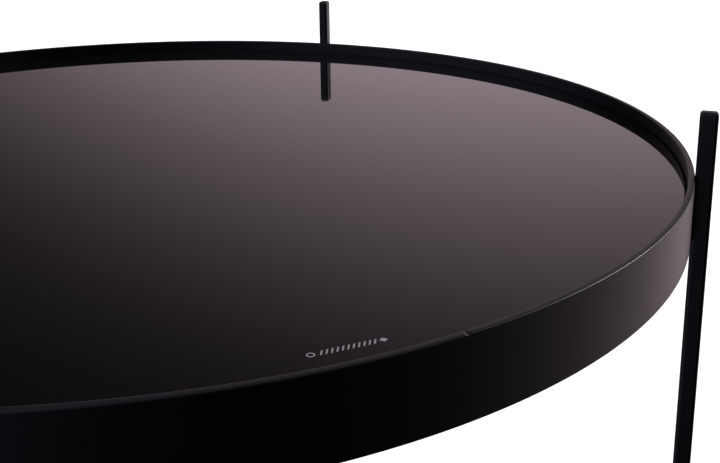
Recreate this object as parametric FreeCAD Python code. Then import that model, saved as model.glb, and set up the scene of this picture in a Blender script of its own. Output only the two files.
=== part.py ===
"""Round tray table of a nesting set.

A steel bar rolled on edge makes the rim.  A ring welded inside it carries a loose black glass
top on clear pads, and four flat-bar legs are screwed to the outside of the rim from within.
The origin is on the floor under the middle of the table, with +Z up.
"""
import FreeCAD, Part
import math
import os

# Tray
RIM_R = 350.0            # outer radius of the rim band
RIM_WALL = 4.0           # thickness of the rolled bar
RIM_TOP_Z = 400.0        # rim's top edge above the floor
RIM_EDGE_ROUND = 1.0
GLASS_DROP = 9.5         # from the rim's top edge down to the glass
GLASS_T = 5.0
GLASS_GAP = 1.0          # all round, between the glass and the band
GLASS_ARRIS = 0.7        # ground edge of the glass
SEAT_T = 3.0             # ring that carries the glass
SEAT_WIDTH = 18.0
PAD_R = 5.0              # clear pads under the glass
PAD_T = 1.5
PAD_COUNT = 8
BEAD_LEG = 3.0           # fillet weld under the seat ring
BEAD_SPAN_DEG = 8.0
BEAD_COUNT = 8

# Legs
LEG_DEPTH = 11.0         # radial
LEG_WIDTH = 8.0          # along the rim
LEG_RISE = 40.0          # above the rim's top edge
LEG_EDGE_ROUND = 2.0
LEG_ANGLES = {"front_right": -45.0, "rear_right": 45.0, "rear_left": 135.0, "front_left": -135.0}

# Feet
FOOT_T = 4.0
FOOT_STEM_R = 2.0
FOOT_STEM_LENGTH = 10.0

# Leg screws, with their washers
SCREW_R = 2.0
SCREW_LENGTH = 12.0      # under the head
SCREW_HEAD_R = 3.8
SCREW_HEAD_T = 2.2
SCREW_CROWN_R = 1.5      # rounding of the button head
SCREW_SOCKET_AF = 2.5    # hexagon across its flats
SCREW_SOCKET_DEPTH = 1.3
SCREW_PITCH = 12.0       # between a leg's two screws
WASHER_R = 4.5
WASHER_T = 0.8
SPRING_WASHER_R = 3.6
SPRING_WASHER_T = 0.9
SPRING_WASHER_SLOT = 1.0
WASHER_MARGIN = 0.5      # from a washer to the seat ring, and to the rim's lower edge

# Clearances
RUNNING = 0.05           # radial, of a thread or a stem in its own hole
WASHER_BORE_GAP = 0.15   # radial
RIM_HOLE_GAP = 0.3       # radial
HOLE_END_GAP = 1.0       # beyond the tip of a screw or a stem
CUT_OVERRUN = 1.0        # how far a cutting shape runs past the face it cuts

# What follows from the sizes above
RIM_INNER_R = RIM_R - RIM_WALL
GLASS_R = RIM_INNER_R - GLASS_GAP
GLASS_TOP_Z = RIM_TOP_Z - GLASS_DROP
GLASS_BOTTOM_Z = GLASS_TOP_Z - GLASS_T
SEAT_TOP_Z = GLASS_BOTTOM_Z - PAD_T
SEAT_BOTTOM_Z = SEAT_TOP_Z - SEAT_T
SCREW_HIGH_Z = SEAT_BOTTOM_Z - WASHER_MARGIN - WASHER_R
SCREW_LOW_Z = SCREW_HIGH_Z - SCREW_PITCH
SCREW_HEIGHTS = (SCREW_LOW_Z, SCREW_HIGH_Z)
RIM_BOTTOM_Z = SCREW_LOW_Z - WASHER_R - WASHER_MARGIN
LEG_TOP_Z = RIM_TOP_Z + LEG_RISE
LEG_MIDDLE_R = RIM_R + LEG_DEPTH / 2
WASHER_SEAT_X = math.sqrt(RIM_INNER_R ** 2 - WASHER_R ** 2)   # a flat washer meets the curved wall
SPRING_SEAT_X = WASHER_SEAT_X - WASHER_T
HEAD_SEAT_X = SPRING_SEAT_X - SPRING_WASHER_T
SCREW_TIP_X = HEAD_SEAT_X + SCREW_LENGTH

V = FreeCAD.Vector
UP = V(0, 0, 1)
OUT = V(1, 0, 0)


def turned(shape, degrees):
    """A copy of the shape turned about the table's upright axis."""
    copy = shape.copy()
    copy.rotate(V(0, 0, 0), UP, degrees)
    return copy


def upright_ring(inner_r, outer_r, bottom_z, top_z):
    """A plain ring about the table's axis."""
    height = top_z - bottom_z
    base = V(0, 0, bottom_z)
    return Part.makeCylinder(outer_r, height, base, UP).cut(Part.makeCylinder(inner_r, height, base, UP))


def lying_rod(radius, start_x, end_x, z):
    """A round rod that lies along a radius of the table."""
    return Part.makeCylinder(radius, end_x - start_x, V(start_x, 0, z), OUT)


def rim_band():
    """The rolled bar, edges rounded, with a clearance hole for each leg screw."""
    band = upright_ring(RIM_INNER_R, RIM_R, RIM_BOTTOM_Z, RIM_TOP_Z)
    rounds = [edge for edge in band.Edges if edge.Curve.TypeId == "Part::GeomCircle"]
    band = band.makeFillet(RIM_EDGE_ROUND, rounds)
    for z in SCREW_HEIGHTS:
        hole = lying_rod(SCREW_R + RIM_HOLE_GAP, RIM_INNER_R - CUT_OVERRUN, RIM_R + CUT_OVERRUN, z)
        for degrees in LEG_ANGLES.values():
            band = band.cut(turned(hole, degrees))
    return band


def seat_ring():
    """The flat ring that carries the glass, as wide as its pads need."""
    return upright_ring(RIM_INNER_R - SEAT_WIDTH, RIM_INNER_R, SEAT_BOTTOM_Z, SEAT_TOP_Z)


def weld_beads():
    """Short fillet welds in the corner under the seat ring, halfway between legs and mid-sides."""
    corner = V(RIM_INNER_R, 0, SEAT_BOTTOM_Z)
    inward = V(RIM_INNER_R - BEAD_LEG, 0, SEAT_BOTTOM_Z)
    downward = V(RIM_INNER_R, 0, SEAT_BOTTOM_Z - BEAD_LEG)
    section = Part.Face(Part.makePolygon([corner, inward, downward, corner]))
    bead = section.revolve(V(0, 0, 0), UP, BEAD_SPAN_DEG)
    step = 360.0 / BEAD_COUNT
    return [turned(bead, step * (i + 0.5) - BEAD_SPAN_DEG / 2) for i in range(BEAD_COUNT)]


def glass_pads():
    """Clear round pads on the seat ring, midway across it."""
    pad = Part.makeCylinder(PAD_R, PAD_T, V(RIM_INNER_R - SEAT_WIDTH / 2, 0, SEAT_TOP_Z), UP)
    return [turned(pad, 360.0 / PAD_COUNT * i) for i in range(PAD_COUNT)]


def glass_top():
    """The round glass, with a small ground bevel on both edges."""
    glass = Part.makeCylinder(GLASS_R, GLASS_T, V(0, 0, GLASS_BOTTOM_Z), UP)
    rounds = [edge for edge in glass.Edges if edge.Curve.TypeId == "Part::GeomCircle"]
    return glass.makeChamfer(GLASS_ARRIS, rounds)


def leg():
    """One flat-bar leg on the +X side, with blind holes for its screws and its foot."""
    bar = Part.makeBox(LEG_DEPTH, LEG_WIDTH, LEG_TOP_Z - FOOT_T, V(RIM_R, -LEG_WIDTH / 2, FOOT_T))
    bar = bar.makeFillet(LEG_EDGE_ROUND, bar.Edges)
    for z in SCREW_HEIGHTS:
        bar = bar.cut(lying_rod(SCREW_R + RUNNING, RIM_R - CUT_OVERRUN, SCREW_TIP_X + HOLE_END_GAP, z))
    stem_hole = Part.makeCylinder(
        FOOT_STEM_R + RUNNING, FOOT_T + FOOT_STEM_LENGTH + HOLE_END_GAP, V(LEG_MIDDLE_R, 0, 0), UP
    )
    return bar.cut(stem_hole)


def foot():
    """One plastic foot, as wide as the bar, with a stem that is pushed up into it."""
    pad = Part.makeBox(LEG_DEPTH, LEG_WIDTH, FOOT_T, V(RIM_R, -LEG_WIDTH / 2, 0))
    upright = [e for e in pad.Edges if abs(e.Vertexes[0].Z - e.Vertexes[-1].Z) > FOOT_T / 2]
    pad = pad.makeFillet(LEG_EDGE_ROUND, upright)
    stem = Part.makeCylinder(FOOT_STEM_R, FOOT_STEM_LENGTH, V(LEG_MIDDLE_R, 0, FOOT_T), UP)
    return pad.fuse(stem)


def flat_washer(z):
    """Flat washer against the inside of the band."""
    bore = lying_rod(SCREW_R + WASHER_BORE_GAP, SPRING_SEAT_X - CUT_OVERRUN, WASHER_SEAT_X + CUT_OVERRUN, z)
    return lying_rod(WASHER_R, SPRING_SEAT_X, WASHER_SEAT_X, z).cut(bore)


def spring_washer(z):
    """Split spring washer between the flat washer and the screw's head."""
    bore = lying_rod(SCREW_R + WASHER_BORE_GAP, HEAD_SEAT_X - CUT_OVERRUN, SPRING_SEAT_X + CUT_OVERRUN, z)
    slot = Part.makeBox(
        SPRING_WASHER_T + 2 * CUT_OVERRUN, SPRING_WASHER_SLOT, SPRING_WASHER_R + CUT_OVERRUN,
        V(HEAD_SEAT_X - CUT_OVERRUN, -SPRING_WASHER_SLOT / 2, z),
    )
    return lying_rod(SPRING_WASHER_R, HEAD_SEAT_X, SPRING_SEAT_X, z).cut(bore).cut(slot)


def screw(z):
    """Button-head machine screw with a hexagon socket, its head towards the middle of the table."""
    head_top_x = HEAD_SEAT_X - SCREW_HEAD_T
    head = lying_rod(SCREW_HEAD_R, head_top_x, HEAD_SEAT_X, z)
    crown = [e for e in head.Edges if e.BoundBox.XMax < head_top_x + SCREW_HEAD_T / 2]
    head = head.makeFillet(SCREW_CROWN_R, crown)
    corner_r = SCREW_SOCKET_AF / math.sqrt(3)
    corners = []
    for i in range(7):
        angle = math.radians(60 * i)
        corners.append(V(head_top_x, corner_r * math.cos(angle), z + corner_r * math.sin(angle)))
    socket = Part.Face(Part.makePolygon(corners)).extrude(OUT * SCREW_SOCKET_DEPTH)
    return head.fuse(lying_rod(SCREW_R, HEAD_SEAT_X, SCREW_TIP_X, z)).cut(socket)


def save(name, shape):
    """Write one node; a list of solids is kept as separate solids."""
    if isinstance(shape, list):
        shape = Part.makeCompound(shape)
    shape.exportStep(f"parts/{name}.step")


os.makedirs("parts", exist_ok=True)
save("rim_band", rim_band())
save("seat_ring", seat_ring())
save("seat_weld_beads", weld_beads())
save("glass_pads", glass_pads())
save("glass_top", glass_top())
for place, degrees in LEG_ANGLES.items():
    save(f"leg_{place}", turned(leg(), degrees))
    save(f"foot_{place}", turned(foot(), degrees))
    save(f"screws_{place}", [turned(screw(z), degrees) for z in SCREW_HEIGHTS])
    save(f"spring_washers_{place}", [turned(spring_washer(z), degrees) for z in SCREW_HEIGHTS])
    save(f"flat_washers_{place}", [turned(flat_washer(z), degrees) for z in SCREW_HEIGHTS])
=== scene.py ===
"""Looks of a round tray table: a satin black steel rim and bar legs around a black glass top."""
import math

import bmesh
import bpy
import numpy as np
from mathutils import Matrix, Vector


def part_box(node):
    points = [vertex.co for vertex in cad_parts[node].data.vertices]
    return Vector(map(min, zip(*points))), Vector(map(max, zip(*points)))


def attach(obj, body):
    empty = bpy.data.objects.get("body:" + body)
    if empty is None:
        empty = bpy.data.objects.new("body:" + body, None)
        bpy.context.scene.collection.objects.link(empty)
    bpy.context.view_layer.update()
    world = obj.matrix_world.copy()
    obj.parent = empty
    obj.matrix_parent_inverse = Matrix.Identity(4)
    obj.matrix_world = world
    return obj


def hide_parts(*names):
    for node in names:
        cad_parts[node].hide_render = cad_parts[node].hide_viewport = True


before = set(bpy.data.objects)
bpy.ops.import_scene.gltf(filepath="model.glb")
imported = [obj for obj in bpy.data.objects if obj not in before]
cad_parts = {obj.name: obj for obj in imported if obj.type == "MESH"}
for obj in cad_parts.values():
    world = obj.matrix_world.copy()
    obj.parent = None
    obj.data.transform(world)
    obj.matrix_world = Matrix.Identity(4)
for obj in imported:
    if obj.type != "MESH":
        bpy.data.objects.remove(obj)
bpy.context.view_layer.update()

# ---------------------------------------------------------------------------------------------
# Rim band: a flat steel bar rolled on edge into a ring and butt-welded.  The weld is ground
# flush, which leaves a shallow dip, and the whole band is powder-coated satin black.

MM = 0.001
rim_low, rim_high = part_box("rim_band")
seat_low, seat_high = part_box("seat_ring")
glass_low, glass_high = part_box("glass_top")
rim_r = round(rim_high.x, 3)
rim_inner_r = round(seat_high.x, 3)
rim_edge_round = 1.0 * MM
ring_stations = 720            # points round each ring: one every 3 mm along the rim
seam_angle = math.radians(-87.7)
seam_half_width = 1.0 * MM
seam_depth = 0.35 * MM
seam_reach = 4 * MM
seam_stations = 33
powder_black = "#080809"
powder_fleck = "#141315"
orange_peel_size = 1.6 * MM
powder_grain_size = 0.45 * MM
powder_relief = 0.03 * MM
powder_cloud_size = 111 * MM   # slow change of gloss, from uneven spraying
powder_gloss = (0.37, 0.45)


def linear(hex_colour):
    """The linear RGBA of an sRGB hex colour."""
    s = np.array([int(hex_colour[i:i + 2], 16) / 255 for i in (1, 3, 5)])
    rgb = np.where(s <= 0.04045, s / 12.92, ((s + 0.055) / 1.055) ** 2.4)
    return (*rgb.tolist(), 1.0)


def add_node(tree, kind, values=None, feeds=None, **settings):
    """Adds one node with its settings, its input values and the sockets that feed its inputs."""
    node = tree.nodes.new(kind)
    for name, value in settings.items():
        setattr(node, name, value)
    for name, value in (values or {}).items():
        node.inputs[name].default_value = value
    for name, socket in (feeds or {}).items():
        tree.links.new(socket, node.inputs[name])
    return node


def new_material(name):
    """An empty node material with its output node."""
    material = bpy.data.materials.new(name)
    material.use_nodes = True
    material.node_tree.nodes.clear()
    output = add_node(material.node_tree, "ShaderNodeOutputMaterial")
    return material, material.node_tree, output


def rounded_rectangle(u0, u1, v0, v1, radius, steps=6, margin=0.3 * MM):
    """Outline of a rectangle with round corners, as points that run once round it.
    Each corner is a quarter circle of the given radius, with a point on the straight just
    before it and just after it, so that the flats shade flat."""
    turns = np.linspace(0, math.pi / 2, steps + 1)
    points = []
    for k, (cu, cv) in enumerate(((u1 - radius, v0 + radius), (u1 - radius, v1 - radius),
                                  (u0 + radius, v1 - radius), (u0 + radius, v0 + radius))):
        angle = turns + (k - 1) * math.pi / 2
        arc = np.stack([cu + radius * np.cos(angle), cv + radius * np.sin(angle)], axis=1)
        first_way = arc[0] + margin * np.array([np.sin(angle[0]), -np.cos(angle[0])])
        last_way = arc[-1] + margin * np.array([-np.sin(angle[-1]), np.cos(angle[-1])])
        points += [first_way[None], arc, last_way[None]]
    return np.concatenate(points)


def build_surface(name, grids, wrap_rows=True, wrap_columns=True):
    """One mesh object from grids of points, each rows x columns x 3, with a face between
    every four neighbours.  A wrapped side joins its last line to its first.  Points that
    coincide, as at a pole, are merged, and the faces are turned outwards."""
    vertices, faces, start = [], [], 0
    for grid in grids:
        rows, columns = grid.shape[:2]
        index = np.arange(rows * columns).reshape(rows, columns) + start
        if wrap_rows:
            index = np.concatenate([index, index[:1]])
        if wrap_columns:
            index = np.concatenate([index, index[:, :1]], axis=1)
        corners = [index[:-1, :-1], index[1:, :-1], index[1:, 1:], index[:-1, 1:]]
        faces.append(np.stack(corners, axis=-1).reshape(-1, 4))
        vertices.append(grid.reshape(-1, 3))
        start += rows * columns
    mesh = bpy.data.meshes.new(name)
    mesh.from_pydata(np.concatenate(vertices).tolist(), [], np.concatenate(faces).tolist())
    work = bmesh.new()
    work.from_mesh(mesh)
    bmesh.ops.remove_doubles(work, verts=work.verts, dist=0.001 * MM)
    bmesh.ops.recalc_face_normals(work, faces=work.faces)
    work.to_mesh(mesh)
    work.free()
    mesh.polygons.foreach_set("use_smooth", np.ones(len(mesh.polygons), bool))
    piece = bpy.data.objects.new(name, mesh)
    bpy.context.scene.collection.objects.link(piece)
    return piece


def revolve(profile, angles, centre=(0.0, 0.0)):
    """Grid of a turned shape: at angle a, profile point (r, z) lies at r cos a, r sin a, z
    from the centre."""
    r, z = profile[:, 0], profile[:, 1]
    x = centre[0] + np.outer(np.cos(angles), r)
    y = centre[1] + np.outer(np.sin(angles), r)
    return np.stack([x, y, np.broadcast_to(z, x.shape)], axis=-1)


def full_turn(stations):
    """Evenly spaced angles once round, without the repeated last one."""
    return np.arange(stations) * 2 * math.pi / stations


def powder_coat():
    """Polyester powder coat, cured from a dry spray: satin, nearly black, with a soft orange
    peel about as wide as the powder layer flows, and a fine grain over it."""
    material, tree, output = new_material("satin_black_powder_coat")
    where = add_node(tree, "ShaderNodeTexCoord").outputs["Object"]
    peel = add_node(tree, "ShaderNodeTexNoise", {"Scale": 1 / orange_peel_size, "Detail": 2.0},
                    {"Vector": where})
    grain = add_node(tree, "ShaderNodeTexNoise", {"Scale": 1 / powder_grain_size, "Detail": 1.0},
                     {"Vector": where})
    cloud = add_node(tree, "ShaderNodeTexNoise", {"Scale": 1 / powder_cloud_size, "Detail": 3.0},
                     {"Vector": where})
    tint = add_node(tree, "ShaderNodeMapRange", {"From Min": 0.62, "From Max": 0.8},
                    {"Value": grain.outputs["Fac"]})
    colour = add_node(tree, "ShaderNodeMix", {"A": linear(powder_black), "B": linear(powder_fleck)},
                      {"Factor": tint.outputs["Result"]}, data_type="RGBA")
    gloss = add_node(tree, "ShaderNodeMapRange",
                     {"To Min": powder_gloss[0], "To Max": powder_gloss[1]},
                     {"Value": cloud.outputs["Fac"]})
    height = add_node(tree, "ShaderNodeMath", {1: 0.35}, {0: grain.outputs["Fac"],
                      2: peel.outputs["Fac"]}, operation="MULTIPLY_ADD")
    bump = add_node(tree, "ShaderNodeBump", {"Strength": 0.25, "Distance": powder_relief},
                    {"Height": height.outputs[0]})
    shader = add_node(tree, "ShaderNodeBsdfPrincipled", {"IOR": 1.4},
                      {"Base Color": colour.outputs["Result"], "Roughness": gloss.outputs["Result"],
                       "Normal": bump.outputs["Normal"]})
    tree.links.new(shader.outputs["BSDF"], output.inputs["Surface"])
    return material


coat = powder_coat()
seam_offsets = np.linspace(-seam_reach, seam_reach, seam_stations) / rim_r
rim_angles = np.sort(np.concatenate([full_turn(ring_stations) - math.pi, seam_angle + seam_offsets]))
rim_profile = rounded_rectangle(rim_inner_r, rim_r, rim_low.z, rim_high.z, rim_edge_round)
rim_grid = revolve(rim_profile, rim_angles)
# The dip lowers the bar's top edge by a bell curve along the rim.
dip = seam_depth * np.exp(-(((rim_angles - seam_angle) * rim_r / seam_half_width) ** 2))
on_top_edge = rim_profile[:, 1] > rim_high.z - 2 * rim_edge_round
rim_grid[:, :, 2] -= np.outer(dip, on_top_edge)
rim = build_surface("rim_band_coated", [rim_grid])
rim.data.materials.append(coat)
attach(rim, "frame")
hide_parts("rim_band")

# ---------------------------------------------------------------------------------------------
# Seat ring: a flat ring cut from steel plate and welded inside the band to carry the glass.
# It is coated with the band, so it has the same satin black finish.

seat_width = 18 * MM
seat_edge_round = 0.3 * MM
seat_inner_r = rim_inner_r - seat_width
seat_profile = rounded_rectangle(seat_inner_r, rim_inner_r, seat_low.z, seat_high.z, seat_edge_round)
seat = build_surface("seat_ring_coated", [revolve(seat_profile, full_turn(ring_stations))])
seat.data.materials.append(coat)
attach(seat, "frame")
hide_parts("seat_ring")

# ---------------------------------------------------------------------------------------------
# Weld beads: short fillet welds in the corner under the seat ring.  Each is a row of
# overlapping ripples, thinner at both ends, and lies under the powder coat.

bead_low, bead_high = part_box("seat_weld_beads")
bead_size = bead_high.z - bead_low.z
bead_count = 8
bead_span = math.radians(8.0)
ripple_pitch = 1.6 * MM


def weld_bead(middle):
    """Grid of one bead: a quarter round swept along the corner.  Its radius swells between
    ripples and falls to nothing at both ends."""
    along = np.linspace(-1, 1, 241)
    distance = along * bead_span / 2 * rim_inner_r
    ripple = 0.86 + 0.14 * np.abs(np.cos(math.pi * distance / ripple_pitch))
    taper = np.sqrt(np.clip(1 - np.abs(along) ** 10, 0, 1))
    radius = bead_size * ripple * taper
    turn = np.linspace(0, math.pi / 2, 9)
    inward = np.concatenate([[0.0], np.cos(turn)])
    downward = np.concatenate([[0.0], np.sin(turn)])
    r = rim_inner_r - np.outer(radius, inward)
    z = seat_low.z - np.outer(radius, downward)
    angle = (middle + along * bead_span / 2)[:, None]
    return np.stack([r * np.cos(angle), r * np.sin(angle), z], axis=-1)


bead_grids = [weld_bead((i + 0.5) * 2 * math.pi / bead_count) for i in range(bead_count)]
beads = build_surface("weld_beads_rippled", bead_grids, wrap_rows=False)
beads.data.materials.append(coat)
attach(beads, "frame")
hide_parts("seat_weld_beads")

# ---------------------------------------------------------------------------------------------
# Glass pads: clear silicone discs stuck to the seat ring.  They take up the gap under the
# glass and keep it from rattling on the steel.

pad_low, pad_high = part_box("glass_pads")
pad_r = 5 * MM
pad_edge_round = 0.4 * MM
pad_count = 8
bubble_size = 0.8 * MM
pad_circle_r = (rim_inner_r + seat_inner_r) / 2


def clear_silicone():
    """Cast silicone: soft, milky clear, with a slightly greasy sheen and fine bubbles."""
    material, tree, output = new_material("clear_cast_silicone")
    where = add_node(tree, "ShaderNodeTexCoord").outputs["Object"]
    bubbles = add_node(tree, "ShaderNodeTexNoise", {"Scale": 1 / bubble_size, "Detail": 2.0},
                       {"Vector": where})
    gloss = add_node(tree, "ShaderNodeMapRange", {"To Min": 0.28, "To Max": 0.42},
                     {"Value": bubbles.outputs["Fac"]})
    shade = add_node(tree, "ShaderNodeMix", {"A": linear("#c9ccc8"), "B": linear("#dfe1dd")},
                     {"Factor": bubbles.outputs["Fac"]}, data_type="RGBA")
    shader = add_node(tree, "ShaderNodeBsdfPrincipled", {"IOR": 1.41, "Transmission Weight": 0.7},
                      {"Base Color": shade.outputs["Result"], "Roughness": gloss.outputs["Result"]})
    tree.links.new(shader.outputs["BSDF"], output.inputs["Surface"])
    return material


def disc_profile(radius, low, high, edge_round):
    """Half outline of a disc, from the middle of its underside to the middle of its top."""
    outline = rounded_rectangle(-radius, radius, low, high, edge_round, margin=0.1 * MM)
    half = outline[outline[:, 0] > 0]
    return np.concatenate([[[0.0, low]], half, [[0.0, high]]])


pad_outline = disc_profile(pad_r, pad_low.z, pad_high.z, pad_edge_round)
pad_angles = full_turn(pad_count)
pad_grids = [
    revolve(pad_outline, full_turn(48), (pad_circle_r * math.cos(a), pad_circle_r * math.sin(a)))
    for a in pad_angles
]
pads = build_surface("glass_pads_moulded", pad_grids, wrap_columns=False)
pads.data.materials.append(clear_silicone())
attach(pads, "frame")
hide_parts("glass_pads")

# ---------------------------------------------------------------------------------------------
# Glass top: one round sheet of black tempered float glass with a polished edge.  It lies
# loose on the pads and lifts straight out.

glass_r = round(glass_high.x, 3)
glass_edge_round = 0.7 * MM
glass_black = "#050506"
dust_grey = "#2a2829"
furnace_wave = 200 * MM
wipe_streak = 71.4 * MM
dust_spacing = 11 * MM


def black_glass():
    """Tempered float glass, black through: a mirror at a low view and dark from above, with
    the long faint wave that the furnace rollers leave and a trace of wiped dust."""
    material, tree, output = new_material("black_tempered_glass")
    where = add_node(tree, "ShaderNodeTexCoord").outputs["Object"]
    wave = add_node(tree, "ShaderNodeTexNoise", {"Scale": 1 / furnace_wave, "Detail": 1.0},
                    {"Vector": where})
    bump = add_node(tree, "ShaderNodeBump", {"Strength": 0.02, "Distance": 0.5 * MM},
                    {"Height": wave.outputs["Fac"]})
    wiped = add_node(tree, "ShaderNodeTexNoise",
                     {"Scale": 1 / wipe_streak, "Detail": 6.0, "Distortion": 0.6}, {"Vector": where})
    gloss = add_node(tree, "ShaderNodeMapRange", {"From Min": 0.35, "From Max": 0.75,
                     "To Min": 0.012, "To Max": 0.05}, {"Value": wiped.outputs["Fac"]})
    dust = add_node(tree, "ShaderNodeTexVoronoi", {"Scale": 1 / dust_spacing}, {"Vector": where})
    speck = add_node(tree, "ShaderNodeMapRange", {"From Min": 0.02, "From Max": 0.035,
                     "To Min": 1.0, "To Max": 0.0}, {"Value": dust.outputs["Distance"]})
    colour = add_node(tree, "ShaderNodeMix", {"A": linear(glass_black), "B": linear(dust_grey)},
                      {"Factor": speck.outputs["Result"]}, data_type="RGBA")
    shader = add_node(tree, "ShaderNodeBsdfPrincipled", {"IOR": 1.52},
                      {"Base Color": colour.outputs["Result"], "Roughness": gloss.outputs["Result"],
                       "Normal": bump.outputs["Normal"]})
    tree.links.new(shader.outputs["BSDF"], output.inputs["Surface"])
    return material


glass_outline = disc_profile(glass_r, glass_low.z, glass_high.z, glass_edge_round)
glass = build_surface("glass_top_polished", [revolve(glass_outline, full_turn(ring_stations))],
                      wrap_columns=False)
glass.data.materials.append(black_glass())
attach(glass, "glass")
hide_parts("glass_top")

# ---------------------------------------------------------------------------------------------
# Glass stamp: a small mark of pale ceramic ink, fired onto the glass near its edge.  It is a
# plain pattern of a ring, a row of slanted bars and a lozenge.

stamp_start = Vector((-0.0418, -0.3155))
stamp_end = Vector((-0.0064, -0.3197))
stamp_height = 3.8 * MM
ink_thickness = 0.04 * MM
ink_grain_size = 0.3 * MM
ring_line = 0.6 * MM
bar_count = 11
bar_width = 0.8 * MM
bar_slant = 0.9 * MM


def ceramic_ink():
    """Screen-printed ceramic ink, fired matt: pale grey with pinholes between its grains."""
    material, tree, output = new_material("fired_ceramic_ink")
    where = add_node(tree, "ShaderNodeTexCoord").outputs["Object"]
    grain = add_node(tree, "ShaderNodeTexNoise", {"Scale": 1 / ink_grain_size, "Detail": 2.0},
                     {"Vector": where})
    shade = add_node(tree, "ShaderNodeMix", {"A": linear("#555257"), "B": linear("#807d82")},
                     {"Factor": grain.outputs["Fac"]}, data_type="RGBA")
    shader = add_node(tree, "ShaderNodeBsdfPrincipled", {"Roughness": 0.6},
                      {"Base Color": shade.outputs["Result"]})
    tree.links.new(shader.outputs["BSDF"], output.inputs["Surface"])
    return material


def printed_shape(outer, inner=None):
    """Grid of a flat printed shape with a thickness, on the glass: its section runs along the
    outer outline, up, and back along the inner one, which is the middle when none is given."""
    if inner is None:
        inner = np.broadcast_to(outer.mean(axis=0), outer.shape)
    low, high = glass_high.z - ink_thickness / 4, glass_high.z + ink_thickness
    stack = [(inner, low), (outer, low), (outer, high), (inner, high)]
    return np.stack([np.column_stack([p, np.full(len(p), z)]) for p, z in stack], axis=1)


stamp_along = (stamp_end - stamp_start).normalized()
stamp_across = Vector((-stamp_along.y, stamp_along.x))
stamp_length = (stamp_end - stamp_start).length


def on_stamp(shape):
    """Points given along and across the stamp, moved to its place on the glass."""
    axes = np.array([stamp_along, stamp_across])
    return np.asarray(shape) @ axes + np.array(stamp_start)


half = stamp_height / 2
circle = np.stack([np.cos(full_turn(40)), np.sin(full_turn(40))], axis=1)
ring_centre = np.array([half, 0.0])
ring_outer = on_stamp(circle * half + ring_centre)
ring_inner = on_stamp(circle * (half - ring_line) + ring_centre)
lozenge_centre = stamp_length - half
lozenge = on_stamp([[lozenge_centre - half, 0], [lozenge_centre, -half],
                    [lozenge_centre + half, 0], [lozenge_centre, half]])
bar_margin = 1.6 * stamp_height
bar_places = np.linspace(bar_margin, stamp_length - bar_margin, bar_count)
bars = [
    on_stamp([[s - bar_slant, -half], [s - bar_slant + bar_width, -half],
              [s + bar_slant + bar_width, half], [s + bar_slant, half]])
    for s in bar_places
]
stamp_grids = [printed_shape(ring_outer, ring_inner)] + [printed_shape(p) for p in [lozenge, *bars]]
stamp = build_surface("glass_stamp", stamp_grids)
stamp.data.polygons.foreach_set("use_smooth", np.zeros(len(stamp.data.polygons), bool))
stamp.data.materials.append(ceramic_ink())
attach(stamp, "glass")

# ---------------------------------------------------------------------------------------------
# Legs: four straight flat bars with rounded edges and ends, screwed to the outside of the
# band.  They are coated apart from the band, in the same powder.

leg_places = {"front_right": -45.0, "rear_right": 45.0, "rear_left": 135.0, "front_left": -135.0}
leg_low, leg_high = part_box("leg_front_right")
leg_depth = 11 * MM
leg_width = 8 * MM
leg_edge_round = 2.0 * MM
leg_end_zone = 3 * MM          # from an end to the first plain section


def leg_bar(degrees):
    """Grid of one bar: a rounded rectangle carried upwards.  At both ends it shrinks by
    r - r cos t while it rises by r sin t, which rounds the end, then closes in the middle."""
    turn = np.linspace(0, math.pi / 2, 7)
    shrink = leg_edge_round * (1 - np.cos(turn))
    rise = leg_edge_round * np.sin(turn)
    top_rows = [(leg_high.z - leg_edge_round + h, s) for h, s in zip(rise, shrink)]
    top_rows.append((leg_high.z, leg_edge_round + 0.3 * MM))
    bottom_rows = [(leg_low.z + leg_high.z - z, s) for z, s in reversed(top_rows)]
    near_ends = [(leg_low.z + leg_end_zone, 0.0), (leg_high.z - leg_end_zone, 0.0)]
    rows = bottom_rows + near_ends + top_rows
    middle = np.array([rim_r + leg_depth / 2, 0.0])
    grid = []
    for z, inset in rows:
        corner = max(leg_edge_round - inset, 0.2 * MM)
        outline = rounded_rectangle(rim_r + inset, rim_r + leg_depth - inset,
                                    -leg_width / 2 + inset, leg_width / 2 - inset, corner)
        grid.append(np.column_stack([outline, np.full(len(outline), z)]))
    for first, z in ((0, leg_low.z), (len(grid) + 1, leg_high.z)):
        pole = np.broadcast_to(np.array([*middle, z]), grid[0].shape)
        grid.insert(first, pole)
    grid = np.stack(grid)
    c, s = math.cos(math.radians(degrees)), math.sin(math.radians(degrees))
    return grid @ np.array([[c, s, 0], [-s, c, 0], [0, 0, 1]])


for place, degrees in leg_places.items():
    bar = build_surface(f"leg_{place}_coated", [leg_bar(degrees)], wrap_rows=False)
    bar.data.materials.append(coat)
    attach(bar, "frame")
    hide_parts(f"leg_{place}")

# ---------------------------------------------------------------------------------------------
# Feet: black nylon pads, injection-moulded, each with a stem pushed up into the bar's end.

spark_texture_size = 0.35 * MM


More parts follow.
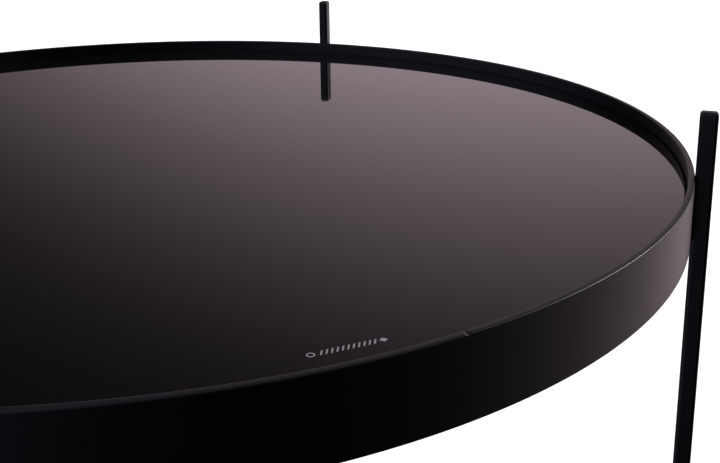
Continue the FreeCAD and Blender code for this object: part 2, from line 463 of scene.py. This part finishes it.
def moulded_nylon():
    """Moulded nylon with a fine spark-eroded texture, black and matt."""
    material, tree, output = new_material("black_moulded_nylon")
    where = add_node(tree, "ShaderNodeTexCoord").outputs["Object"]
    texture = add_node(tree, "ShaderNodeTexNoise", {"Scale": 1 / spark_texture_size, "Detail": 2.0},
                       {"Vector": where})
    gloss = add_node(tree, "ShaderNodeMapRange", {"To Min": 0.5, "To Max": 0.65},
                     {"Value": texture.outputs["Fac"]})
    shade = add_node(tree, "ShaderNodeMix", {"A": linear("#0e0e0e"), "B": linear("#191919")},
                     {"Factor": texture.outputs["Fac"]}, data_type="RGBA")
    bump = add_node(tree, "ShaderNodeBump", {"Strength": 0.3, "Distance": 0.02 * MM},
                    {"Height": texture.outputs["Fac"]})
    shader = add_node(tree, "ShaderNodeBsdfPrincipled", {"IOR": 1.53},
                      {"Base Color": shade.outputs["Result"], "Roughness": gloss.outputs["Result"],
                       "Normal": bump.outputs["Normal"]})
    tree.links.new(shader.outputs["BSDF"], output.inputs["Surface"])
    return material


def refinish(node, material):
    """Gives a CAD node its material in every slot."""
    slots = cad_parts[node].data.materials
    slots.clear()
    slots.append(material)


nylon = moulded_nylon()
for place in leg_places:
    refinish(f"foot_{place}", nylon)

# ---------------------------------------------------------------------------------------------
# Leg screws with their flat and spring washers: bright zinc-plated steel.  They are driven
# from inside the band and only show from below.

zinc_cloud_size = 1.5 * MM


def zinc_plate():
    """Bright zinc over steel: a cool grey metal with a fine, slightly cloudy grain."""
    material, tree, output = new_material("bright_zinc_plate")
    where = add_node(tree, "ShaderNodeTexCoord").outputs["Object"]
    cloud = add_node(tree, "ShaderNodeTexNoise", {"Scale": 1 / zinc_cloud_size, "Detail": 4.0},
                     {"Vector": where})
    gloss = add_node(tree, "ShaderNodeMapRange", {"To Min": 0.2, "To Max": 0.38},
                     {"Value": cloud.outputs["Fac"]})
    shade = add_node(tree, "ShaderNodeMix", {"A": linear("#b9bcc2"), "B": linear("#d3d5d8")},
                     {"Factor": cloud.outputs["Fac"]}, data_type="RGBA")
    shader = add_node(tree, "ShaderNodeBsdfPrincipled", {"Metallic": 1.0},
                      {"Base Color": shade.outputs["Result"], "Roughness": gloss.outputs["Result"]})
    tree.links.new(shader.outputs["BSDF"], output.inputs["Surface"])
    return material


zinc = zinc_plate()
for place in leg_places:
    for kind in ("screws", "spring_washers", "flat_washers"):
        refinish(f"{kind}_{place}", zinc)

# ---------------------------------------------------------------------------------------------
# Studio: a wide pale floor under an even soft light, and one broad soft glow low behind the
# table on the right, as from a lit backdrop.  A slim strip light at the side draws the bright
# edge along the rim.  The camera's side stays dark.

floor_r = 14.0
floor_drop = 0.5 * MM          # under the feet, so that the faces don't coincide
glow_azimuth = math.radians(48.7)
glow_elevation = math.radians(-14.5)
glow_strength = 0.72
glow_sharpness = 11.4
glow_reach = (0.103, 0.924)    # cosines at which the glow begins and is full
glow_base = 0.012
glow_tint = (1.10, 0.88, 0.98, 1.0)
bounce_azimuth = math.radians(30.0)
bounce_strength = 1.2
bounce_sharpness = 6.5
fill_azimuth = math.radians(180.0)
fill_elevation = math.radians(15.0)
fill_strength = 0.62
fill_reach = (0.3, 1.0)
fill_tint = (0.92, 0.90, 1.20, 1.0)
top_strength = 0.22
top_reach = (0.5, 1.0)
floor_light = 4.9
lamp_azimuth = math.radians(3.0)
lamp_elevation = math.radians(42.0)
lamp_width = math.radians(34.0)
strip_light = 1.7
strip_azimuth = math.radians(-7.0)
strip_elevation = math.radians(22.0)
strip_width = math.radians(12.0)


def pale_floor():
    """Matt white paint with the faintest mottling."""
    material, tree, output = new_material("matt_white_floor")
    where = add_node(tree, "ShaderNodeTexCoord").outputs["Object"]
    mottle = add_node(tree, "ShaderNodeTexNoise", {"Scale": 3.0}, {"Vector": where})
    shade = add_node(tree, "ShaderNodeMix", {"A": linear("#f1f1f1"), "B": linear("#f5f5f5")},
                     {"Factor": mottle.outputs["Fac"]}, data_type="RGBA")
    shader = add_node(tree, "ShaderNodeBsdfDiffuse", {}, {"Color": shade.outputs["Result"]})
    tree.links.new(shader.outputs["BSDF"], output.inputs["Surface"])
    return material


floor_outline = np.array([[0.0, -floor_drop], [floor_r, -floor_drop]])
floor = build_surface("floor", [revolve(floor_outline, full_turn(96))], wrap_columns=False)
floor.data.flip_normals()
floor.data.materials.append(pale_floor())
floor.visible_glossy = False
floor.visible_diffuse = False


def studio_world():
    """The glow is a smooth cap of light about one direction.  Below the horizon it gives way
    to what a pale floor sends back, which is strongest below the glow.  A cooler cap on the
    left and a faint one overhead are added."""
    world = bpy.data.worlds.new("studio")
    world.use_nodes = True
    tree = world.node_tree
    tree.nodes.clear()
    way = add_node(tree, "ShaderNodeTexCoord").outputs["Generated"]
    height = add_node(tree, "ShaderNodeSeparateXYZ", {}, {0: way}).outputs["Z"]
    above = add_node(tree, "ShaderNodeMapRange", {"From Min": -0.15, "From Max": 0.02},
                     {"Value": height}, interpolation_type="SMOOTHSTEP")

    def towards(azimuth, elevation):
        """Cosine of the angle between each direction and the given one."""
        flat = math.cos(elevation)
        aim = (flat * math.cos(azimuth), flat * math.sin(azimuth), math.sin(elevation))
        near = add_node(tree, "ShaderNodeVectorMath", {1: aim}, {0: way}, operation="DOT_PRODUCT")
        return near.outputs["Value"]

    def cap(cosine, reach, strength, power=1.0, base=0.0):
        """Light that rises smoothly from base to base + strength as the cosine goes through reach."""
        rise = add_node(tree, "ShaderNodeMapRange", {"From Min": reach[0], "From Max": reach[1]},
                        {"Value": cosine}, interpolation_type="SMOOTHSTEP")
        sharp = add_node(tree, "ShaderNodeMath", {1: power}, {0: rise.outputs["Result"]},
                         operation="POWER")
        return add_node(tree, "ShaderNodeMath", {1: strength, 2: base}, {0: sharp.outputs[0]},
                        operation="MULTIPLY_ADD").outputs[0]

    glow = cap(towards(glow_azimuth, glow_elevation), glow_reach, glow_strength, glow_sharpness,
               glow_base)
    share = add_node(tree, "ShaderNodeMapRange", {"From Min": -1.0, "From Max": 1.0},
                     {"Value": towards(bounce_azimuth, 0.0)})
    faded = add_node(tree, "ShaderNodeMath", {1: bounce_sharpness}, {0: share.outputs["Result"]},
                     operation="POWER")
    bounce = add_node(tree, "ShaderNodeMath", {1: bounce_strength}, {0: faded.outputs[0]},
                      operation="MULTIPLY")
    light = add_node(tree, "ShaderNodeMix", {}, {"Factor": above.outputs["Result"],
                     "A": bounce.outputs[0], "B": glow}, data_type="FLOAT")
    warm = add_node(tree, "ShaderNodeBackground", {"Color": glow_tint},
                    {"Strength": light.outputs["Result"]})
    fill = cap(towards(fill_azimuth, fill_elevation), fill_reach, fill_strength)
    top = cap(height, top_reach, top_strength)
    both = add_node(tree, "ShaderNodeMath", {}, {0: fill, 1: top}, operation="ADD")
    cool = add_node(tree, "ShaderNodeBackground", {"Color": fill_tint}, {"Strength": both.outputs[0]})
    total = add_node(tree, "ShaderNodeAddShader", {}, {0: warm.outputs["Background"],
                     1: cool.outputs["Background"]})
    output = add_node(tree, "ShaderNodeOutputWorld")
    tree.links.new(total.outputs["Shader"], output.inputs["Surface"])
    return world


bpy.context.scene.world = studio_world()
lamp = bpy.data.lights.new("overhead_softlight", "SUN")
lamp.energy = floor_light
lamp.angle = lamp_width
overhead = bpy.data.objects.new("overhead_softlight", lamp)
overhead.rotation_euler = (0.0, math.pi / 2 - lamp_elevation, lamp_azimuth)
overhead.visible_glossy = False
bpy.context.scene.collection.objects.link(overhead)
strip = bpy.data.lights.new("side_striplight", "SUN")
strip.energy = strip_light
strip.angle = strip_width
side = bpy.data.objects.new("side_striplight", strip)
side.rotation_euler = (0.0, math.pi / 2 - strip_elevation, strip_azimuth)
bpy.context.scene.collection.objects.link(side)
bpy.context.scene.view_settings.view_transform = "Standard"

# ---------------------------------------------------------------------------------------------
# Camera: close in front of the table and a little above it, turned to the right-hand side.

camera_place = Vector((-0.2054, -0.6668, 0.5902))
camera_heading = math.radians(56.04)
camera_dip = math.radians(15.48)
camera_roll = math.radians(0.88)
look = Vector((math.cos(camera_heading) * math.cos(camera_dip),
               math.sin(camera_heading) * math.cos(camera_dip), -math.sin(camera_dip)))
level_right = Vector((math.sin(camera_heading), -math.cos(camera_heading), 0.0))
level_up = level_right.cross(look)
right = level_right * math.cos(camera_roll) + level_up * math.sin(camera_roll)
up = right.cross(look)
lens = bpy.data.cameras.new("camera")
lens.lens = 52.5
lens.shift_x = -0.139
lens.shift_y = -0.1358
lens.clip_end = 60.0
camera = bpy.data.objects.new("camera", lens)
bpy.context.scene.collection.objects.link(camera)
camera.matrix_world = Matrix.Translation(camera_place) @ Matrix((right, up, -look)).transposed().to_4x4()
bpy.context.scene.camera = camera
